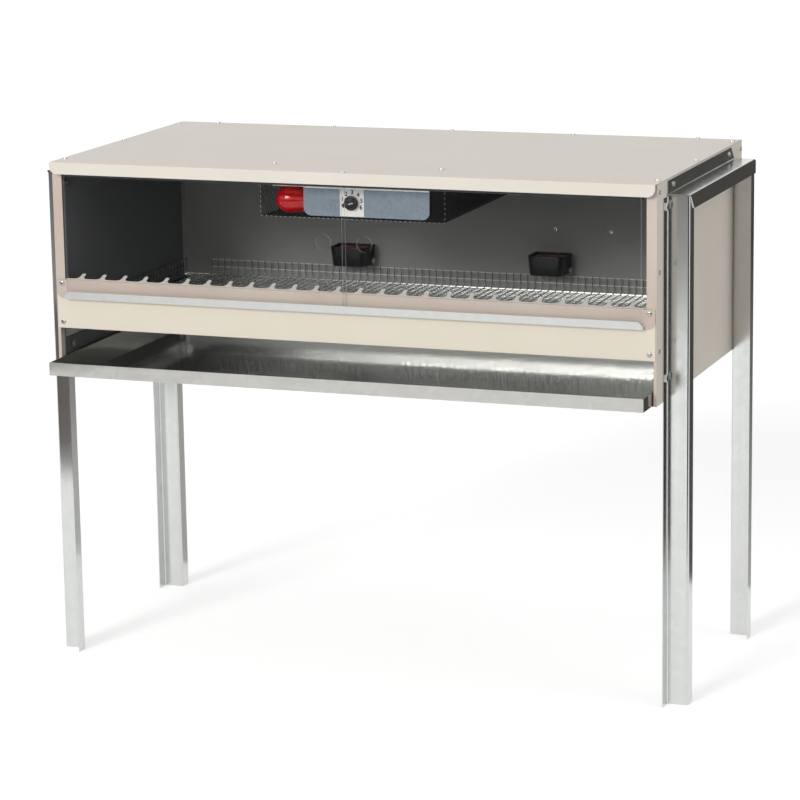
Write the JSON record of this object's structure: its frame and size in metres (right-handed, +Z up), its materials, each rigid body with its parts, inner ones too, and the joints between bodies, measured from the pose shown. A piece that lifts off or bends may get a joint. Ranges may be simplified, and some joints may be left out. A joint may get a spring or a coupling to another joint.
{
  "type": "chick brooder",
  "caption": "Sheet steel chick brooder on folded legs, with sliding clear doors, mesh floor, pull-out dropping tray, feeding comb, drinkers and a guarded heater with thermostat.",
  "frame": {"origin": "middle of the whole part's footprint, on the floor", "axes": "+X to the right seen from the front, +Y from the doors to the back wall, +Z up"},
  "size_m": [1.075, 0.582, 0.8272],
  "materials": {
    "cream_steel": "smooth cream coat",
    "wall_steel": "pale beige coat outside, grey coat inside",
    "beige_steel": "smooth beige coat",
    "track_metal": "satin",
    "galvanised_steel": "zinc coated, faint spangle",
    "floor_wire": "zinc coated wire",
    "guard_mesh": "zinc coated diamond mesh",
    "clear_acrylic": "clear, polished",
    "black_plastic": "black",
    "red_plastic": "red",
    "white_plastic": "white",
    "red_glass": "red coloured glass",
    "porcelain": "off white",
    "brass": "plain brass",
    "element_steel": "heat darkened tube",
    "zinc_steel": "bright zinc"
  },
  "bodies": {
    "cabinet": {"back_wall": "wall_steel", "cable_gland": "black_plastic", "cable_gland_nut": "black_plastic", "control_bracket": "galvanised_steel", "dial_plate": "white_plastic", "drinker_drain_plugs": "white_plastic", "drinker_inlet_nuts": "brass", "drinker_inlets": "brass", "drinker_pins": "zinc_steel", "element_front_carrier": "galvanised_steel", "element_rear_carrier": "galvanised_steel", "feed_trough": "galvanised_steel", "feeding_comb": "cream_steel", "floor_mesh_back_edge": "floor_wire", "floor_mesh_cross_wires": "floor_wire", "floor_mesh_long_wires": "floor_wire", "floor_mesh_side_edges": "floor_wire", "front_screws": "zinc_steel", "heater_guard_bottom": "guard_mesh", "heater_guard_left": "guard_mesh", "heater_guard_right": "guard_mesh", "heating_element": "element_steel", "kickboard": "cream_steel", "lamp_bulb": "red_glass", "lamp_cap": "brass", "lamp_holder": "porcelain", "left_back_leg": "galvanised_steel", "left_drinker_cup": "black_plastic", "left_floor_support": "galvanised_steel", "left_front_leg": "galvanised_steel", "left_front_post": "beige_steel", "left_guard_rail": "galvanised_steel", "left_top_rail": "galvanised_steel", "left_wall": "wall_steel", "leg_bolts": "zinc_steel", "leg_nuts": "zinc_steel", "lower_door_track": "track_metal", "right_back_leg": "galvanised_steel", "right_drinker_cup": "black_plastic", "right_floor_support": "galvanised_steel", "right_front_leg": "galvanised_steel", "right_front_post": "beige_steel", "right_guard_rail": "galvanised_steel", "right_top_rail": "galvanised_steel", "right_wall": "wall_steel", "sill_rail": "beige_steel", "support_rivets": "zinc_steel", "thermostat": "porcelain", "thermostat_nut": "zinc_steel", "top_panel": "cream_steel", "top_screws": "zinc_steel", "upper_door_track": "black_plastic", "wall_screws": "zinc_steel"},
    "left_door": {"left_door": "clear_acrylic"},
    "right_door": {"right_door": "clear_acrylic"},
    "tray": {"dropping_tray": "galvanised_steel"},
    "knob": {"thermostat_knob": "black_plastic", "thermostat_shaft": "zinc_steel"},
    "left_paddle": {"left_drinker_paddle": "red_plastic"},
    "right_paddle": {"right_drinker_paddle": "red_plastic"}
  },
  "joints": [
    {"name": "left_door_slide", "type": "slide", "parent": "cabinet", "child": "left_door", "axis": [1, 0, 0], "range_m": [0, 0.476]},
    {"name": "right_door_slide", "type": "slide", "parent": "cabinet", "child": "right_door", "axis": [-1, 0, 0], "range_m": [0, 0.476]},
    {"name": "tray_slide", "type": "slide", "parent": "cabinet", "child": "tray", "axis": [0, -1, 0], "range_m": [-0.049, 0.4]},
    {"name": "thermostat_turn", "type": "hinge", "parent": "cabinet", "child": "knob", "pos_m": [0, -0.2125, 0.7725], "axis": [0, -1, 0], "range_deg": [-40, 185]},
    {"name": "left_paddle_press", "type": "hinge", "parent": "cabinet", "child": "left_paddle", "pos_m": [-0.177, 0.26, 0.6181], "axis": [1, 0, 0], "range_deg": [0, 10], "stiffness_Nm_per_rad": 0.02, "springref_deg": -8.59},
    {"name": "right_paddle_press", "type": "hinge", "parent": "cabinet", "child": "right_paddle", "pos_m": [0.177, 0.26, 0.6181], "axis": [1, 0, 0], "range_deg": [0, 10], "stiffness_Nm_per_rad": 0.02, "springref_deg": -8.59}
  ]
}
